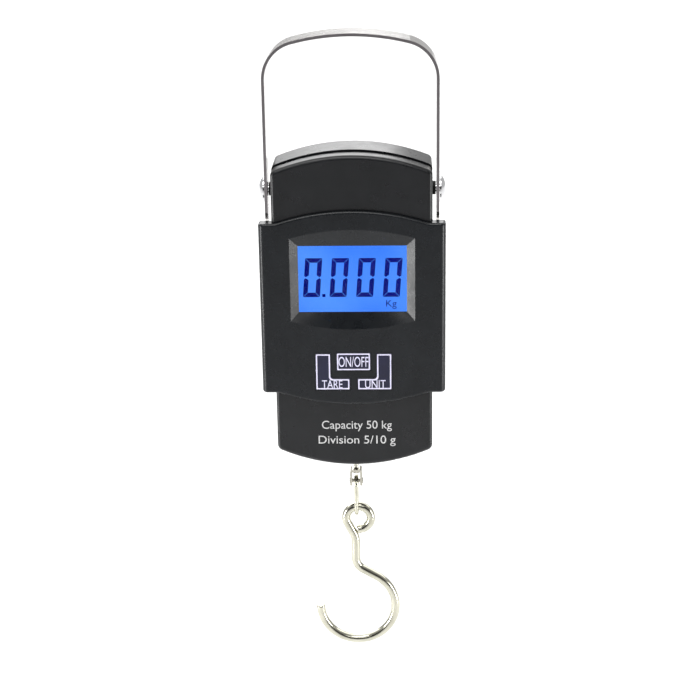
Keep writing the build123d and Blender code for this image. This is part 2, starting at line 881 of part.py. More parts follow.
# Battery cells, contacts and springs: the left cell stands plus up, the right one plus down
with BuildPart() as battery_cells:
    for side in (-1, 1):
        nub_drop = bay_top + contact_thickness if side < 0 else bay_bottom - contact_thickness
        with BuildSketch(Plane.XY.offset(below(nub_drop))):
            with Locations((side * cell_pack_x, battery_y)):
                Circle(battery_nub_radius)
        extrude(amount=side * battery_nub)
        with BuildSketch(Plane.XY.offset(below(nub_drop) + side * battery_nub)):
            with Locations((side * cell_pack_x, battery_y)):
                Circle(battery_radius)
        extrude(amount=side * battery_body)
    battery_rims = battery_cells.edges().filter_by(lambda edge: edge.length > pi * battery_radius)
    fillet(battery_rims.filter_by(GeomType.CIRCLE), battery_edge_radius)
battery_cells.part.label = "battery_cells"
export_step(battery_cells.part, "parts/battery_cells.step")

with BuildPart() as battery_contacts:
    for x in (-cell_pack_x, cell_pack_x):
        for top in (bay_top, bay_bottom - contact_thickness):
            prism(
                lambda: box_outline(contact_side, contact_thickness, x, top + contact_thickness / 2),
                battery_y + contact_side / 2,
                battery_y - contact_side / 2,
            )
battery_contacts.part.label = "battery_contacts"
export_step(battery_contacts.part, "parts/battery_contacts.step")

spring_room = bay_bottom - bay_top - 2 * contact_thickness - battery_body - battery_nub
spring_rise = spring_room - 2 * spring_wire_radius
with BuildPart() as battery_springs:
    for side in (-1, 1):
        low = bay_bottom - contact_thickness if side < 0 else bay_top + contact_thickness + spring_room
        start_z = below(low) + spring_wire_radius
        centre = (side * cell_pack_x, battery_y, start_z)
        with BuildLine() as coil:
            Helix(spring_rise / spring_turns, spring_rise, spring_coil_radius, center=centre)
        with BuildSketch(Plane(coil.line @ 0, z_dir=coil.line % 0)):
            Circle(spring_wire_radius)
        sweep(path=coil.line, is_frenet=True)
battery_springs.part.label = "battery_springs"
export_step(battery_springs.part, "parts/battery_springs.step")

# Hook shaft, jam nut and grommet
shaft_head_top = clevis_top + clevis_roof + shaft_head_gap
with BuildPart() as hook_shaft:
    with BuildSketch(Plane.XY.offset(below(shaft_step))):
        Circle(shaft_radius)
    extrude(amount=shaft_step - shaft_top)
    with BuildSketch(Plane.XY.offset(below(shaft_head_top))):
        Circle(shaft_neck_radius)
    extrude(amount=shaft_head_top - shaft_step)
    with BuildSketch(Plane.XY.offset(below(shaft_head_top + shaft_head_thickness))):
        Circle(shaft_head_radius)
    extrude(amount=shaft_head_thickness)
    fillet(hook_shaft.edges().group_by(Axis.Z)[0], shaft_head_edge)
hook_shaft.part.label = "hook_shaft"
export_step(hook_shaft.part, "parts/hook_shaft.step")

with BuildPart() as shaft_nut:
    with BuildSketch(Plane.XY.offset(below(cell_bottom + nut_thickness))):
        RegularPolygon(nut_flats / 2, 6, major_radius=False, rotation=30)
        Circle(shaft_radius, mode=Mode.SUBTRACT)
    extrude(amount=nut_thickness)
shaft_nut.part.label = "shaft_nut"
export_step(shaft_nut.part, "parts/shaft_nut.step")

casing_floor = casing_bottom_corner + casing_fall
flange_drop = casing_floor - wall - grommet_flange_gap
with BuildPart() as shaft_grommet:
    with BuildSketch(Plane.XY.offset(below(casing_floor - grommet_recess))):
        Circle(grommet_radius)
    extrude(amount=casing_floor - grommet_recess - flange_drop)
    with BuildSketch(Plane.XY.offset(below(flange_drop))):
        Circle(grommet_radius + grommet_flange[0])
    extrude(amount=grommet_flange[1])
    with BuildSketch(Plane.XY.offset(below(casing_floor))):
        Circle(grommet_bore_radius)
    extrude(amount=grommet_bore_depth, mode=Mode.SUBTRACT)
shaft_grommet.part.label = "shaft_grommet"
export_step(shaft_grommet.part, "parts/shaft_grommet.step")

# Swivel clevis and its pin
with BuildPart() as clevis:
    prism(
        lambda: span_outline(-clevis_half_width, clevis_half_width, clevis_top, clevis_bottom),
        clevis_half_depth,
        -clevis_half_depth,
    )
    fillet(clevis.edges().filter_by(Axis.Y).group_by(Axis.Z)[-1], clevis_shoulder_radius)
    fillet(clevis.edges().filter_by(Axis.X).group_by(Axis.Z)[0], clevis_foot_radius)
    inner_half = clevis_half_width - clevis_side
    prism(
        lambda: span_outline(-inner_half, inner_half, clevis_top + clevis_roof, clevis_bottom),
        clevis_half_depth,
        -clevis_half_depth,
        Mode.SUBTRACT,
    )
    with BuildSketch(Plane.XY.offset(below(clevis_top))):
        Circle(shaft_neck_radius + swivel_running_gap)
    extrude(amount=-clevis_roof, mode=Mode.SUBTRACT)
    with BuildSketch(Plane.YZ):
        with Locations((0, below(pin_drop))):
            Circle(pin_radius)
    extrude(amount=clevis_half_width, both=True, mode=Mode.SUBTRACT)
clevis.part.label = "clevis"
export_step(clevis.part, "parts/clevis.step")

with BuildPart() as clevis_pin:
    with BuildSketch(Plane.YZ):
        with Locations((0, below(pin_drop))):
            Circle(pin_radius)
    extrude(amount=clevis_half_width, both=True)
    for side in (-1, 1):
        with BuildSketch(Plane.YZ.offset(side * clevis_half_width)):
            with Locations((0, below(pin_drop))):
                Circle(pin_head[0])
        extrude(amount=side * pin_head[1])
clevis_pin.part.label = "clevis_pin"
export_step(clevis_pin.part, "parts/clevis_pin.step")

# Link: a closed wire loop hanging on the clevis pin
link_top_drop = pin_drop - pin_radius - link_slack - link_wire_radius
link_bottom_drop = link_top_drop + link_length + 2 * link_wire_radius
upper_bend = below(link_top_drop + link_bend_radius)
lower_bend = below(link_bottom_drop - link_bend_radius)
with BuildPart() as hook_link:
    with BuildLine(Plane.YZ) as half_loop:
        RadiusArc((0, upper_bend + link_bend_radius), (link_bend_radius, upper_bend), link_bend_radius)
        Line((link_bend_radius, upper_bend), (link_bend_radius, lower_bend))
        RadiusArc((link_bend_radius, lower_bend), (0, lower_bend - link_bend_radius), link_bend_radius)
    with BuildSketch(Plane((0, 0, below(link_top_drop)), z_dir=(0, 1, 0))):
        Circle(link_wire_radius)
    sweep(path=half_loop.line)
    mirror(about=Plane.XZ)
hook_link.part.label = "hook_link"
export_step(hook_link.part, "parts/hook_link.step")

# Hook: eye, stem, throat bend and bowl bent from one wire
eye_play = eye_bend_radius - hook_wire_radius - link_wire_radius - link_slack
eye_z = below(link_bottom_drop) - sqrt(eye_play**2 - eye_offset**2)
eye_start_x = eye_offset + eye_bend_radius * cos(radians(eye_end_angle))
eye_start = (eye_start_x, eye_z + eye_bend_radius * sin(radians(eye_end_angle)))
eye_heading = eye_end_angle + 90
exit_heading = eye_exit_angle + 90
stem_turn = 360 - 90 - exit_heading
eye_exit_x = eye_offset + eye_bend_radius * cos(radians(eye_exit_angle))
stem_bend_shift = stem_bend_radius * (1 - cos(radians(stem_turn)))
lead_length = (stem_offset - eye_exit_x - stem_bend_shift) / cos(radians(exit_heading))
bowl_z = below(bowl_drop)
bowl_start_x = bowl_offset + bowl_radius * cos(radians(90 - throat_slope))
bowl_start_z = bowl_z + bowl_radius * sin(radians(90 - throat_slope))
throat_turn = 90 - throat_slope
throat_x = stem_offset + throat_bend_radius * (1 - cos(radians(throat_turn)))
throat_run = (bowl_start_x - throat_x) / cos(radians(throat_slope))
throat_rise = throat_run * sin(radians(throat_slope)) + throat_bend_radius * sin(radians(throat_turn))
stem_foot_z = bowl_start_z + throat_rise
with BuildPart() as hook:
    with BuildLine(Plane.XZ) as hook_path:
        cut_end = PolarLine(eye_start, -hook_end_run, eye_heading)
        eye = JernArc(eye_start, heading(eye_heading), eye_bend_radius, eye_exit_angle - eye_end_angle)
        lead = PolarLine(eye @ 1, lead_length, exit_heading)
        bend = JernArc(lead @ 1, heading(exit_heading), stem_bend_radius, stem_turn)
        stem = PolarLine(bend @ 1, (bend @ 1).Z - stem_foot_z, -90)
        throat = JernArc(stem @ 1, heading(-90), throat_bend_radius, throat_turn)
        run = PolarLine(throat @ 1, throat_run, -throat_slope)
        bowl = JernArc(run @ 1, heading(-throat_slope), bowl_radius, -bowl_sweep)
        tip = PolarLine(bowl @ 1, hook_end_run, -throat_slope - bowl_sweep)
    with BuildSketch(Plane(hook_path.line @ 0, z_dir=hook_path.line % 0)):
        Circle(hook_wire_radius)
    sweep(path=hook_path.line)
    fillet(hook.faces().filter_by(GeomType.PLANE).edges(), hook_end_edge)
hook.part.label = "hook"
export_step(hook.part, "parts/hook.step")
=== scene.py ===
"""Looks of a hand-held electronic hanging scale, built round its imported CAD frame.

All lengths are in metres.
"""

import json
from math import cos, pi, radians, sin, tan

import bmesh
import bpy
from mathutils import Matrix, Vector


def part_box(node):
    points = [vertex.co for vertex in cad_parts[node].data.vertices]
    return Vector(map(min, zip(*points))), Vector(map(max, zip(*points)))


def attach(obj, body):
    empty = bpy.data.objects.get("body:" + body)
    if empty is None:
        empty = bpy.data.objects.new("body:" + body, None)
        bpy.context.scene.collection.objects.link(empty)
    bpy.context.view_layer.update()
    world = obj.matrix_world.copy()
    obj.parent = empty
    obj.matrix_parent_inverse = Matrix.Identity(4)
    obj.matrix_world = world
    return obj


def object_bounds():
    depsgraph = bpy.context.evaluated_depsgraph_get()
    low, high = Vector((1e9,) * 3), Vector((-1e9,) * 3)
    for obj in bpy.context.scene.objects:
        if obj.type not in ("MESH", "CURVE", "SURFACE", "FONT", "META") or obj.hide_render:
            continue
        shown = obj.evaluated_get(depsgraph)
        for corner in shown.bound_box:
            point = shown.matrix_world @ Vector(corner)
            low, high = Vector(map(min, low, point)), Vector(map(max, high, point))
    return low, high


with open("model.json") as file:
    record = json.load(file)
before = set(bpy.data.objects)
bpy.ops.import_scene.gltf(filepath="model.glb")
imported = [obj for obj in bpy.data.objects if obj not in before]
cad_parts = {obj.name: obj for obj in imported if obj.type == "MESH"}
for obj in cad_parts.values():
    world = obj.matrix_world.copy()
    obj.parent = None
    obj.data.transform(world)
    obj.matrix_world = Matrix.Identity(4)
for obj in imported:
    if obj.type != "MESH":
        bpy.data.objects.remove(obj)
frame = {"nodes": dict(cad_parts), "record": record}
cad_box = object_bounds()

MM = 0.001

# Camera, as a distance and angles from the point it looks at
CAMERA_AIM = Vector((-1.3, -13.5, -118.1)) * MM
CAMERA_DISTANCE = 650 * MM
CAMERA_AZIMUTH = radians(2.0)
CAMERA_ELEVATION = radians(18.7)
CAMERA_ROLL = radians(-0.85)
CAMERA_LENS = 87.5
CAMERA_SENSOR = 36
CAMERA_NEAR = 10 * MM

# Floor: how far it lies below the hook, half its side, and the sizes of its unevenness
FLOOR_DROP = 300 * MM
FLOOR_HALF = 7.0
FLOOR_PATCH = 0.5
FLOOR_GRAIN = 0.05

# Light of the room: dark where a direction's Y is at the span's front end, bright from its rear end
ROOM_DARK = 0.04
ROOM_BRIGHT = 0.55
ROOM_SPAN = (-0.95, -0.1)

# Softboxes: name, place, the point it faces, width and height, radiance
STUDIO_CENTRE = (0, 0, -0.12)
SOFTBOXES = (
    ("floor_box", (0, 3.0, 2.2), (0, 3.0, 0), (8.0, 5.0), 1.6),
    ("back_box", (-0.6, 2.0, 0.65), STUDIO_CENTRE, (1.8, 0.5), 3.6),
    ("top_box", (-0.15, -0.45, 0.9), STUDIO_CENTRE, (0.9, 0.35), 6.0),
    ("left_box", (-0.95, -0.42, -0.2), STUDIO_CENTRE, (0.18, 0.6), 18.0),
    ("right_box", (0.95, -0.42, -0.2), STUDIO_CENTRE, (0.18, 0.6), 14.0),
    ("front_box", (0, -1.6, 1.0), STUDIO_CENTRE, (1.6, 0.45), 2.2),
)

# Display: four slanted seven-segment digits, a point and a unit
DIGIT_COUNT = 4
DIGIT_HEIGHT = 15.3 * MM
DIGIT_WIDTH = 6.45 * MM
DIGIT_RAISE = 0.3 * MM
DIGIT_PITCH = 10.1 * MM
DIGIT_SLANT = radians(4.5)
SEGMENT_WIDTH = 1.75 * MM
SEGMENT_GAP = 0.22 * MM
WAIST_GAP = 0.176 * MM
WAIST_INNER = 0.45 * SEGMENT_WIDTH
WAIST_OUTER = 0.3 * SEGMENT_WIDTH
WAIST_POINT = 0.35 * SEGMENT_WIDTH
POINT_SIZE = 1.2 * MM
PRINT_THICKNESS = 0.03 * MM
UNIT_MARK_SIZE = Vector((4.0, 3.5)) * MM
UNIT_MARK_PLACE = Vector((14.6, -10.4)) * MM

# Keys: each button's flange reaches further than its visible cap
KEY_FLANGE = 0.7 * MM
KEY_CORNER = 0.3 * MM
KEY_LINE = 0.5 * MM
KEY_LINE_INSET = 0.2 * MM
KEY_LEG = 5.8 * MM
KEY_FOOT = 4.5 * MM
KEY_INNER_CORNER = 1.4 * MM
ON_OFF_LEGEND_SIZE = Vector((11.4, 4.1)) * MM
FOOT_LEGEND_SIZE = Vector((7.9, 3.3)) * MM
FOOT_LEGEND_OFFSET = 8.3 * MM

# Printed lines under the belt: text, height above the casing's lowest point, width
RANGE_LINES = (("Capacity 50 kg", 16.5 * MM, 27.2 * MM), ("Division 5/10 g", 10.3 * MM, 30.0 * MM))
RANGE_HEIGHT = 4.4 * MM
RANGE_MIDDLE = 0.9 * MM

# Middle span of a noise's values, over which a colour or a roughness changes
NOISE_SPAN = (0.3, 0.7)

# Sizes of features in the materials
MOULD_PATCH = 9 * MM
MOULD_WEAR = 5 * MM
MOULD_GRAIN = 0.3 * MM
MOULD_DEPTH = 0.004 * MM
BOARD_GRAIN = 1 * MM
PLATE_PATCH = 6 * MM
PLATE_STREAK = 0.35 * MM
PLATE_DEPTH = 0.002 * MM
WINDOW_PATCH = 8 * MM
WINDOW_DUST = 2 * MM
GLOW_PATCH = 30 * MM
GLASS_PATCH = 1.5 * MM
GLASS_SHADE = 0.1
INK_COVER = 1.2 * MM
INK_WEAR = 2 * MM
INK_GRAIN = 0.15 * MM
INK_DEPTH = 0.004 * MM
SEGMENT_GLOW_PATCH = 10 * MM
SEGMENT_PATCH = 2 * MM

# Streaks along the strip, the shaft and the turned pieces
LONG_Z_STREAKS = (1, 1, 30)
SHORT_Z_STREAKS = (1, 1, 20)
LONG_X_STREAKS = (20, 1, 1)

# How strongly the black plastics reflect
SHELL_SHINE = {"Specular IOR Level": 0.42}
PANEL_SHINE = {"Specular IOR Level": 0.36}

# Bail strip: half its width, how far in its darker edge band reaches, and its two colours: polished
# chrome, and the painted shade on its edges that stands in for their dark reflections
BAIL_EDGE = 7.0 * MM
PAINTED_EDGE_BLEND = 0.1 * MM
BAIL_POLISHED = ((0.56, 0.54, 0.52), (0.66, 0.64, 0.62))
BAIL_PAINTED_EDGE_SHADE = ((0.24, 0.22, 0.23), (0.34, 0.32, 0.33))

# Lettering
FONT_STEPS = 6
WELD_DISTANCE = 1e-4

# Arrow on the battery door
ARROW_CORNER = 0.4 * MM
ARROW_HALF_WIDTH = 4.0 * MM
ARROW_HEIGHT = 4.5 * MM
ARROW_RAISE = 13.0 * MM
ARROW_THICKNESS = 0.09 * MM


# Materials ------------------------------------------------------------------------------------


def new_material(name, settings=None):
    """Node material with its constants set on the shader's own sockets, its tree and its shader."""
    material = bpy.data.materials.new(name)
    material.use_nodes = True
    tree = material.node_tree
    shader = tree.nodes["Principled BSDF"]
    for socket, value in (settings or {}).items():
        shader.inputs[socket].default_value = value
    return material, tree, shader


def noise(tree, size, detail=3.0, stretch=(1, 1, 1)):
    """Noise fixed to the piece: features about size across, drawn out along an axis by stretch."""
    place = tree.nodes.new("ShaderNodeTexCoord")
    mapping = tree.nodes.new("ShaderNodeMapping")
    mapping.inputs["Scale"].default_value = [1 / (size * s) for s in stretch]
    texture = tree.nodes.new("ShaderNodeTexNoise")
    texture.inputs["Scale"].default_value = 1.0
    texture.inputs["Detail"].default_value = detail
    tree.links.new(place.outputs["Object"], mapping.inputs["Vector"])
    tree.links.new(mapping.outputs["Vector"], texture.inputs["Vector"])
    return texture.outputs["Fac"]


def vary_colour(tree, shader, source, low, high, socket="Base Color"):
    """Colour that runs from low to high with the source."""
    ramp = tree.nodes.new("ShaderNodeValToRGB")
    for element, position, colour in zip(ramp.color_ramp.elements, NOISE_SPAN, (low, high)):
        element.position = position
        element.color = (*colour, 1)
    tree.links.new(source, ramp.inputs["Fac"])
    tree.links.new(ramp.outputs["Color"], shader.inputs[socket])


def vary_roughness(tree, shader, source, low, high):
    """Roughness that runs from low to high with the source."""
    span = tree.nodes.new("ShaderNodeMapRange")
    span.inputs["From Min"].default_value = NOISE_SPAN[0]
    span.inputs["From Max"].default_value = NOISE_SPAN[1]
    span.inputs["To Min"].default_value = low
    span.inputs["To Max"].default_value = high
    tree.links.new(source, span.inputs["Value"])
    tree.links.new(span.outputs["Result"], shader.inputs["Roughness"])


def add_bump(tree, shader, source, depth):
    """Relief of the given depth."""
    bump = tree.nodes.new("ShaderNodeBump")
    bump.inputs["Strength"].default_value = 1.0
    bump.inputs["Distance"].default_value = depth
    tree.links.new(source, bump.inputs["Height"])
    tree.links.new(bump.outputs["Normal"], shader.inputs["Normal"])


def moulded(name, low, high, roughness, grain=MOULD_GRAIN, settings=None):
    """Moulded plastic or rubber: a fine spark-eroded grain and faint handling marks."""
    material, tree, shader = new_material(name, settings)
    vary_colour(tree, shader, noise(tree, MOULD_PATCH), low, high)
    vary_roughness(tree, shader, noise(tree, MOULD_WEAR, detail=6), *roughness)
    add_bump(tree, shader, noise(tree, grain, detail=2), MOULD_DEPTH)
    return material


def metal(name, low, high, roughness, stretch=(1, 1, 1)):
    """Plated or machined metal: streaks along one axis and patches of slightly duller plate."""
    material, tree, shader = new_material(name, {"Metallic": 1.0})
    vary_colour(tree, shader, noise(tree, PLATE_PATCH), low, high)
    vary_roughness(tree, shader, noise(tree, PLATE_STREAK, detail=4, stretch=stretch), *roughness)
    add_bump(tree, shader, noise(tree, PLATE_STREAK, detail=3, stretch=stretch), PLATE_DEPTH)
    return material


def strip_with_painted_dark_edges(name, half_width, polished, painted_edge_shade, roughness):
    """Polished strip whose edges, half_width either side of its middle, are painted darker: painted shade
    in place of the dark reflections along its edges.
    """
    material, tree, shader = new_material(name, {"Metallic": 1.0})
    place = tree.nodes.new("ShaderNodeTexCoord")
    split = tree.nodes.new("ShaderNodeSeparateXYZ")
    reach = tree.nodes.new("ShaderNodeMath")
    reach.operation = "ABSOLUTE"
    edge = tree.nodes.new("ShaderNodeMapRange")
    edge.inputs["From Min"].default_value = half_width - PAINTED_EDGE_BLEND
    edge.inputs["From Max"].default_value = half_width - PAINTED_EDGE_BLEND / 2
    tree.links.new(place.outputs["Object"], split.inputs["Vector"])
    tree.links.new(split.outputs["Y"], reach.inputs[0])
    tree.links.new(reach.outputs["Value"], edge.inputs["Value"])
    # Painted shade: towards the edges the colour turns to the darker edge colour, standing in for the
    # edges' dark reflections
    blend = tree.nodes.new("ShaderNodeMixRGB")
    tree.links.new(edge.outputs["Result"], blend.inputs["Fac"])
    for socket, (low, high) in (("Color1", polished), ("Color2", painted_edge_shade)):
        ramp = tree.nodes.new("ShaderNodeValToRGB")
        ramp.color_ramp.elements[0].color = (*low, 1)
        ramp.color_ramp.elements[1].color = (*high, 1)
        tree.links.new(noise(tree, PLATE_PATCH), ramp.inputs["Fac"])
        tree.links.new(ramp.outputs["Color"], blend.inputs[socket])
    tree.links.new(blend.outputs["Color"], shader.inputs["Base Color"])
    streaks = noise(tree, PLATE_STREAK, detail=4, stretch=LONG_Z_STREAKS)
    vary_roughness(tree, shader, streaks, *roughness)
    add_bump(tree, shader, streaks, PLATE_DEPTH)
    return material


def window_material():
    """Clear acrylic that hardly reflects, with a trace of dust in its roughness."""
    settings = {"Transmission Weight": 1.0, "IOR": 1.12}
    material, tree, shader = new_material("clear_window", settings)
    vary_colour(tree, shader, noise(tree, WINDOW_PATCH), (0.96, 0.97, 1.0), (1.0, 1.0, 1.0))
    vary_roughness(tree, shader, noise(tree, WINDOW_DUST, detail=6), 0.0, 0.03)
    return material


def lit_glass(name, low, high):
    """Back-lit display glass: blue light, a little uneven."""
    settings = {"Emission Strength": 1.0, "Roughness": 0.4, "Specular IOR Level": 0.1}
    material, tree, shader = new_material(name, settings)
    vary_colour(tree, shader, noise(tree, GLOW_PATCH, detail=1), low, high, "Emission Color")
    unlit = [[GLASS_SHADE * c for c in colour] for colour in (low, high)]
    vary_colour(tree, shader, noise(tree, GLASS_PATCH), *unlit)
    return material


SLOT_MATERIALS = {
    "shell_black": moulded(
        "shell_black", (0.004, 0.0045, 0.0055), (0.007, 0.0075, 0.009), (0.26, 0.34), settings=SHELL_SHINE
    ),
    "panel_black": moulded(
        "panel_black", (0.003, 0.004, 0.0055), (0.006, 0.0075, 0.0095), (0.24, 0.32), settings=PANEL_SHINE
    ),
    "key_navy": moulded("key_navy", (0.004, 0.004, 0.022), (0.007, 0.007, 0.034), (0.34, 0.44)),
    "black_nylon": moulded("black_nylon", (0.004, 0.004, 0.004), (0.012, 0.012, 0.012), (0.45, 0.6)),
    "plunger_black": moulded("plunger_black", (0.01, 0.01, 0.01), (0.02, 0.02, 0.02), (0.4, 0.5)),
    "switch_body": moulded("switch_body", (0.012, 0.012, 0.013), (0.02, 0.02, 0.022), (0.4, 0.5)),
    "chip_black": moulded("chip_black", (0.008, 0.008, 0.009), (0.016, 0.016, 0.017), (0.45, 0.6)),
    "board_green": moulded(
        "board_green", (0.01, 0.09, 0.03), (0.02, 0.14, 0.05), (0.25, 0.35), grain=BOARD_GRAIN
    ),
    "elastomer": moulded("elastomer", (0.5, 0.38, 0.42), (0.62, 0.5, 0.52), (0.6, 0.75)),
    "grommet_rubber": moulded("grommet_rubber", (0.006, 0.006, 0.006), (0.014, 0.014, 0.014), (0.6, 0.75)),
    "gauge_film": moulded("gauge_film", (0.45, 0.22, 0.05), (0.6, 0.32, 0.08), (0.2, 0.35)),
    "signal_wire": moulded("signal_wire", (0.6, 0.6, 0.6), (0.75, 0.75, 0.74), (0.35, 0.5)),
    "supply_wire": moulded("supply_wire", (0.35, 0.02, 0.015), (0.5, 0.03, 0.02), (0.35, 0.5)),
    "battery_wrap": moulded("battery_wrap", (0.02, 0.07, 0.2), (0.03, 0.1, 0.28), (0.15, 0.25)),
    # Bail chrome, with painted shade on its edges in place of their dark reflections
    "bail_chrome": strip_with_painted_dark_edges("bail_chrome", BAIL_EDGE, BAIL_POLISHED, BAIL_PAINTED_EDGE_SHADE, (0.08, 0.2)),
    "screw_chrome": metal("screw_chrome", (0.66, 0.66, 0.67), (0.8, 0.8, 0.81), (0.08, 0.18)),
    "axle_steel": metal("axle_steel", (0.45, 0.45, 0.46), (0.58, 0.58, 0.6), (0.2, 0.35), LONG_X_STREAKS),
    "small_screw_steel": metal("small_screw_steel", (0.5, 0.5, 0.5), (0.66, 0.66, 0.65), (0.2, 0.35)),
    "case_screw_steel": metal("case_screw_steel", (0.08, 0.08, 0.085), (0.14, 0.14, 0.15), (0.25, 0.4)),
    "cell_aluminium": metal(
        "cell_aluminium", (0.6, 0.61, 0.63), (0.72, 0.73, 0.75), (0.3, 0.42), LONG_X_STREAKS
    ),
    "contact_nickel": metal("contact_nickel", (0.55, 0.54, 0.5), (0.68, 0.66, 0.62), (0.2, 0.3)),
    "shaft_steel": metal(
        "shaft_steel", (0.42, 0.41, 0.36), (0.56, 0.55, 0.49), (0.15, 0.28), SHORT_Z_STREAKS
    ),
    "clevis_nickel": metal("clevis_nickel", (0.42, 0.40, 0.34), (0.54, 0.52, 0.45), (0.12, 0.25)),
    "hook_nickel": metal("hook_nickel", (0.50, 0.49, 0.40), (0.62, 0.605, 0.505), (0.1, 0.2)),
    "clear_window": window_material(),
    "display_glass": lit_glass("display_glass", (0.040, 0.205, 0.98), (0.085, 0.30, 1.0)),
    "backlight": lit_glass("backlight", (0.2, 0.4, 1.0), (0.3, 0.5, 1.0)),
}

for part in frame["record"]["subparts"]:
    frame["nodes"][part["node"]].material_slots[0].material = SLOT_MATERIALS[part["material_slot"]]


def print_material(name, low, high):
    """Screen-printed ink: slightly uneven cover and a dull, faintly rough surface."""
    material, tree, shader = new_material(name)
    vary_colour(tree, shader, noise(tree, INK_COVER, detail=5), low, high)
    vary_roughness(tree, shader, noise(tree, INK_WEAR), 0.5, 0.7)
    add_bump(tree, shader, noise(tree, INK_GRAIN), INK_DEPTH)
    return material


def segment_material():
    """Dark liquid crystal: navy where a little of the back light comes through."""
    settings = {"Emission Strength": 1.0, "Roughness": 0.5, "Specular IOR Level": 0.1}
    material, tree, shader = new_material("display_segments", settings)
    glow = noise(tree, SEGMENT_GLOW_PATCH)
    vary_colour(tree, shader, glow, (0.0, 0.002, 0.14), (0.001, 0.004, 0.19), "Emission Color")
    vary_colour(tree, shader, noise(tree, SEGMENT_PATCH), (0.0, 0.0, 0.01), (0.0, 0.001, 0.02))
    return material


# Mesh pieces ----------------------------------------------------------------------------------

SQUARE = [(-1, -1), (1, -1), (1, 1), (-1, 1)]


def finish_mesh(piece_mesh, name, material, body):
    """Object from a bmesh, riding on a body."""
    mesh = bpy.data.meshes.new(name)
    piece_mesh.to_mesh(mesh)
    piece_mesh.free()
    piece = bpy.data.objects.new(name, mesh)
    bpy.context.scene.collection.objects.link(piece)
    mesh.materials.append(material)
    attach(piece, body)
    return piece


def add_plate(piece_mesh, outline, front_y, thickness):
    """Thin plate from an X-Z outline, standing proud of the surface behind it."""
    front = [piece_mesh.verts.new((x, front_y, z)) for x, z in outline]
    rear = [piece_mesh.verts.new((x, front_y + thickness, z)) for x, z in outline]
    piece_mesh.faces.new(front)
    piece_mesh.faces.new(list(reversed(rear)))
    count = len(outline)
    for i in range(count):
        j = (i + 1) % count
        piece_mesh.faces.new((front[j], front[i], rear[i], rear[j]))


def add_ring(piece_mesh, outer, inner, front_y, thickness):
    """Thin closed line between two X-Z outlines with the same number of points."""
    loops = [
        [piece_mesh.verts.new((x, y, z)) for x, z in outline]
        for outline, y in (
            (outer, front_y),
            (inner, front_y),
            (inner, front_y + thickness),
            (outer, front_y + thickness),
        )
    ]
    count = len(outer)
    for near, far in zip(loops, loops[1:] + loops[:1]):
        for i in range(count):
            j = (i + 1) % count
            piece_mesh.faces.new((near[i], near[j], far[j], far[i]))


def rounded(points, radii, steps=6):
    """Polygon with each corner rounded by its own radius."""
    outline = []
    count = len(points)
    for i in range(count):
        corner = Vector(points[i])
        before = (Vector(points[i - 1]) - corner).normalized()
        after = (Vector(points[(i + 1) % count]) - corner).normalized()
        half = before.angle(after) / 2
        reach = radii[i] / tan(half)
        centre = corner + (before + after).normalized() * (radii[i] / sin(half))
        start = corner + before * reach - centre
        sweep = start.angle_signed(corner + after * reach - centre)
        for step in range(steps + 1):
            turn = -sweep * step / steps
            outline.append(centre + Matrix.Rotation(turn, 2) @ start)
    return [tuple(p) for p in outline]


def bar_outline(start, end, outward):
    """Display bar with mitred ends: its outer edge runs from start to end, its inner is shorter."""
    start, end = Vector(start), Vector(end)
    along = (end - start).normalized()
    side = Vector(outward).normalized()
    gap = SEGMENT_GAP / 2
    outer = [start + along * gap, end - along * gap]
    inner = [p - side * SEGMENT_WIDTH for p in outer]
    inner = [inner[0] + along * SEGMENT_WIDTH, inner[1] - along * SEGMENT_WIDTH]
    return [outer[0], outer[1], inner[1], inner[0]]


def display_digits():
    """The reading 0.000 in mitred segments, slanted, with its decimal point."""
    low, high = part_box("display_glass")
    front_y = low.y - 2 * PRINT_THICKNESS
    middle_z = (low.z + high.z) / 2 + DIGIT_RAISE
    w, h = DIGIT_WIDTH / 2, DIGIT_HEIGHT / 2
    digits = bmesh.new()
    for index in range(DIGIT_COUNT):
        centre_x = (index - (DIGIT_COUNT - 1) / 2) * DIGIT_PITCH
        bars = [
            bar_outline((-w, h), (w, h), (0, 1)),
            bar_outline((w, -h), (-w, -h), (0, -1)),
            side_bar(-1, 1),
            side_bar(-1, -1),
            side_bar(1, 1),
            side_bar(1, -1),
        ]
        for outline in bars:
            placed = [(centre_x + p[0] + p[1] * tan(DIGIT_SLANT), middle_z + p[1]) for p in outline]
            add_plate(digits, placed, front_y, PRINT_THICKNESS)
    point_x = -DIGIT_PITCH - POINT_SIZE / 2 - h * tan(DIGIT_SLANT) / 2
    half = POINT_SIZE / 2
    point_z = middle_z - h + half
    point = [(point_x + half * x, point_z + half * z) for x, z in SQUARE]
    add_plate(digits, point, front_y, PRINT_THICKNESS)
    bmesh.ops.recalc_face_normals(digits, faces=digits.faces)
    finish_mesh(digits, "display_digits", segment_material(), "housing")


def side_bar(side, half_sign):
    """Upright bar of a digit: mitred at the digit's corner and pointed at its waist."""
    w, h = DIGIT_WIDTH / 2, DIGIT_HEIGHT / 2
    t, gap = SEGMENT_WIDTH, SEGMENT_GAP / 2
    outer_x, inner_x = side * w, side * (w - t)
    far, near = half_sign * (h - gap), half_sign * WAIST_GAP
    return [
        Vector((outer_x, far)),
        Vector((inner_x, far - half_sign * t)),
        Vector((inner_x, near + half_sign * WAIST_INNER)),
        Vector((outer_x - side * WAIST_POINT, near)),
        Vector((outer_x, near + half_sign * WAIST_OUTER)),
    ]


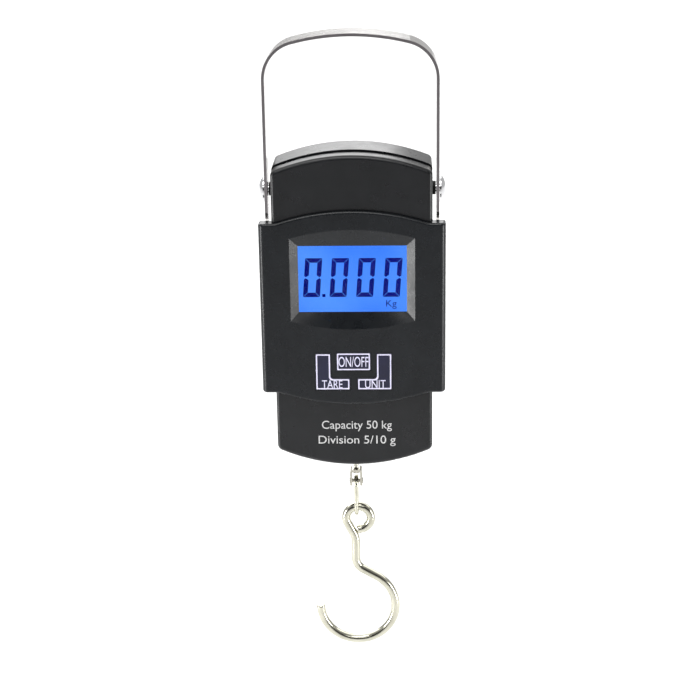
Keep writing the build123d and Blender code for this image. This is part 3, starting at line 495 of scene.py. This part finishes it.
def lettering(name, text, centre, size, material, body):
    """Line of raised print facing -Y, fitted to a width and a height about a centre."""
    curve = bpy.data.curves.new(name, "FONT")
    curve.body = text
    curve.resolution_u = FONT_STEPS
    source = bpy.data.objects.new(name + "_source", curve)
    bpy.context.scene.collection.objects.link(source)
    bpy.context.view_layer.update()
    depsgraph = bpy.context.evaluated_depsgraph_get()
    flat = bpy.data.meshes.new_from_object(source.evaluated_get(depsgraph))
    bpy.data.objects.remove(source)
    letters = bmesh.new()
    letters.from_mesh(flat)
    bpy.data.meshes.remove(flat)
    bmesh.ops.remove_doubles(letters, verts=letters.verts, dist=WELD_DISTANCE)
    low = Vector((min(v.co.x for v in letters.verts), min(v.co.y for v in letters.verts)))
    high = Vector((max(v.co.x for v in letters.verts), max(v.co.y for v in letters.verts)))
    scale = Vector((size.x / (high.x - low.x), size.y / (high.y - low.y)))
    for v in letters.verts:
        x = centre.x + (v.co.x - (low.x + high.x) / 2) * scale.x
        z = centre.z + (v.co.y - (low.y + high.y) / 2) * scale.y
        v.co = Vector((x, centre.y, z))
    raised = bmesh.ops.extrude_face_region(letters, geom=letters.faces[:])["geom"]
    for v in raised:
        if isinstance(v, bmesh.types.BMVert):
            v.co.y -= PRINT_THICKNESS
    bmesh.ops.recalc_face_normals(letters, faces=letters.faces)
    return finish_mesh(letters, name, material, body)


def key_corners(name, left, right, bottom, top):
    """Corners of a key's cap and their radii: a box, or an L standing on its outer side."""
    if name == "on_off":
        return [(left, bottom), (right, bottom), (right, top), (left, top)], [KEY_CORNER] * 4
    outer, inner = (left, right) if name == "tare" else (right, left)
    leg = outer + KEY_LEG * (1 if inner > outer else -1)
    foot = bottom + KEY_FOOT
    corners = [(outer, bottom), (inner, bottom), (inner, foot), (leg, foot), (leg, top), (outer, top)]
    radii = [KEY_CORNER] * 6
    radii[3] = KEY_INNER_CORNER
    return corners, radii


def key_outline(name, corners, radii, face_y, ink):
    """Printed line just inside the edge of a key."""
    outer = rounded(inset_corners(corners, KEY_LINE_INSET), radii)
    inner = rounded(inset_corners(corners, KEY_LINE_INSET + KEY_LINE), radii)
    ring = bmesh.new()
    add_ring(ring, outer, inner, face_y - PRINT_THICKNESS, PRINT_THICKNESS)
    bmesh.ops.recalc_face_normals(ring, faces=ring.faces)
    finish_mesh(ring, name + "_outline", ink, name + "_key")


def key_prints():
    """Pale outline and legend on each key."""
    ink = print_material("key_ink", (0.66, 0.64, 0.84), (0.80, 0.78, 0.94))
    for name, text in (("on_off", "ON/OFF"), ("tare", "TARE"), ("unit", "UNIT")):
        low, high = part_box(name + "_button")
        left, right = low.x + KEY_FLANGE, high.x - KEY_FLANGE
        bottom, top = low.z + KEY_FLANGE, high.z - KEY_FLANGE
        corners, radii = key_corners(name, left, right, bottom, top)
        key_outline(name, corners, radii, low.y, ink)
        if name == "on_off":
            centre = Vector((0, low.y, (top + bottom) / 2))
            size = ON_OFF_LEGEND_SIZE
        else:
            side = -1 if name == "tare" else 1
            centre = Vector((side * FOOT_LEGEND_OFFSET, low.y, bottom + KEY_FOOT / 2))
            size = FOOT_LEGEND_SIZE
        lettering(name + "_legend", text, centre, size, ink, name + "_key")


def inset_corners(corners, margin):
    """Corners of a right-angled polygon, moved inwards by margin."""
    count = len(corners)
    following = corners[1:] + corners[:1]
    area = sum(a[0] * b[1] - b[0] * a[1] for a, b in zip(corners, following))
    sign = 1 if area > 0 else -1
    moved = []
    for i in range(count):
        p, q, r = Vector(corners[i - 1]), Vector(corners[i]), Vector(corners[(i + 1) % count])
        normals = [Vector((-(b - a).y, (b - a).x)).normalized() * sign for a, b in ((p, q), (q, r))]
        moved.append(tuple(q + (normals[0] + normals[1]) * margin))
    return moved


def range_text():
    """Two generic printed lines under the belt."""
    ink = print_material("case_ink", (0.52, 0.52, 0.52), (0.66, 0.66, 0.66))
    low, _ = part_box("front_shell")
    for index, (text, rise, width) in enumerate(RANGE_LINES):
        centre = Vector((RANGE_MIDDLE, low.y, low.z + rise))
        size = Vector((width, RANGE_HEIGHT))
        lettering(f"range_line_{index + 1}", text, centre, size, ink, "housing")


def unit_mark():
    """Small Kg mark under the last digit."""
    low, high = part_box("display_glass")
    centre_z = (low.z + high.z) / 2 + UNIT_MARK_PLACE.y
    centre = Vector((UNIT_MARK_PLACE.x, low.y - PRINT_THICKNESS, centre_z))
    ink = segment_material()
    lettering("display_unit", "Kg", centre, UNIT_MARK_SIZE, ink, "housing")


def door_arrow():
    """Raised arrow that shows which way the battery door opens."""
    low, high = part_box("battery_door")
    base_z = low.z + ARROW_RAISE
    top_z = base_z + ARROW_HEIGHT
    outline = [(-ARROW_HALF_WIDTH, top_z), (ARROW_HALF_WIDTH, top_z), (0, base_z)]
    arrow = bmesh.new()
    add_plate(arrow, rounded(outline, [ARROW_CORNER] * 3), high.y, ARROW_THICKNESS)
    bmesh.ops.recalc_face_normals(arrow, faces=arrow.faces)
    finish_mesh(arrow, "door_arrow", SLOT_MATERIALS["shell_black"], "door")


# Studio ---------------------------------------------------------------------------------------


def make_camera():
    """Camera at the angle of the reference view."""
    cos_e, sin_e = cos(CAMERA_ELEVATION), sin(CAMERA_ELEVATION)
    back = Vector((sin(CAMERA_AZIMUTH) * cos_e, -cos(CAMERA_AZIMUTH) * cos_e, sin_e))
    right = Vector((cos(CAMERA_AZIMUTH), sin(CAMERA_AZIMUTH), 0))
    up = back.cross(right)
    rolled_right = right * cos(CAMERA_ROLL) + up * sin(CAMERA_ROLL)
    rolled_up = up * cos(CAMERA_ROLL) - right * sin(CAMERA_ROLL)
    data = bpy.data.cameras.new("camera")
    data.lens = CAMERA_LENS
    data.sensor_width = CAMERA_SENSOR
    data.clip_start = CAMERA_NEAR
    camera = bpy.data.objects.new("camera", data)
    bpy.context.scene.collection.objects.link(camera)
    turn = Matrix((rolled_right, rolled_up, back)).transposed().to_4x4()
    camera.matrix_world = Matrix.Translation(CAMERA_AIM + back * CAMERA_DISTANCE) @ turn
    bpy.context.scene.camera = camera


def make_floor():
    """Pale floor well below the hook."""
    z = cad_box[0].z - FLOOR_DROP
    sheet = bmesh.new()
    sheet.faces.new([sheet.verts.new((x * FLOOR_HALF, y * FLOOR_HALF, z)) for x, y in SQUARE])
    mesh = bpy.data.meshes.new("floor")
    sheet.to_mesh(mesh)
    sheet.free()
    floor = bpy.data.objects.new("floor", mesh)
    bpy.context.scene.collection.objects.link(floor)
    material, tree, shader = new_material("floor_paint")
    vary_colour(tree, shader, noise(tree, FLOOR_PATCH), (0.90, 0.90, 0.90), (0.93, 0.93, 0.93))
    vary_roughness(tree, shader, noise(tree, FLOOR_GRAIN), 0.8, 0.9)
    mesh.materials.append(material)


def soft_light(name, place, aim, size, radiance):
    """Softbox of even radiance that the camera doesn't see."""
    data = bpy.data.lights.new(name, "AREA")
    data.shape = "RECTANGLE"
    data.size, data.size_y = size
    data.energy = radiance * pi * size[0] * size[1]
    light = bpy.data.objects.new(name, data)
    bpy.context.scene.collection.objects.link(light)
    light.location = place
    light.rotation_euler = (Vector(aim) - Vector(place)).to_track_quat("-Z", "Y").to_euler()
    light.visible_camera = False


def room_light():
    """White room for the camera; everything else sees a room that is dark towards the front."""
    world = bpy.data.worlds.new("studio")
    bpy.context.scene.world = world
    world.use_nodes = True
    tree = world.node_tree
    room = tree.nodes["Background"]
    place = tree.nodes.new("ShaderNodeTexCoord")
    split = tree.nodes.new("ShaderNodeSeparateXYZ")
    level = tree.nodes.new("ShaderNodeMapRange")
    level.interpolation_type = "SMOOTHSTEP"
    level.inputs["From Min"].default_value = ROOM_SPAN[0]
    level.inputs["From Max"].default_value = ROOM_SPAN[1]
    level.inputs["To Min"].default_value = ROOM_DARK
    level.inputs["To Max"].default_value = ROOM_BRIGHT
    tree.links.new(place.outputs["Generated"], split.inputs["Vector"])
    tree.links.new(split.outputs["Y"], level.inputs["Value"])
    tree.links.new(level.outputs["Result"], room.inputs["Strength"])
    room.inputs["Color"].default_value = (1, 1, 1, 1)
    backdrop = tree.nodes.new("ShaderNodeBackground")
    backdrop.inputs["Color"].default_value = (1, 1, 1, 1)
    path = tree.nodes.new("ShaderNodeLightPath")
    mix = tree.nodes.new("ShaderNodeMixShader")
    tree.links.new(path.outputs["Is Camera Ray"], mix.inputs["Fac"])
    tree.links.new(room.outputs["Background"], mix.inputs[1])
    tree.links.new(backdrop.outputs["Background"], mix.inputs[2])
    tree.links.new(mix.outputs["Shader"], tree.nodes["World Output"].inputs["Surface"])


def make_studio():
    """Softboxes: over the floor behind, behind, overhead, low at each side, and high in front."""
    for softbox in SOFTBOXES:
        soft_light(*softbox)
    bpy.context.scene.view_settings.view_transform = "Standard"


make_camera()
make_floor()
room_light()
make_studio()
display_digits()
unit_mark()
key_prints()
range_text()
door_arrow()
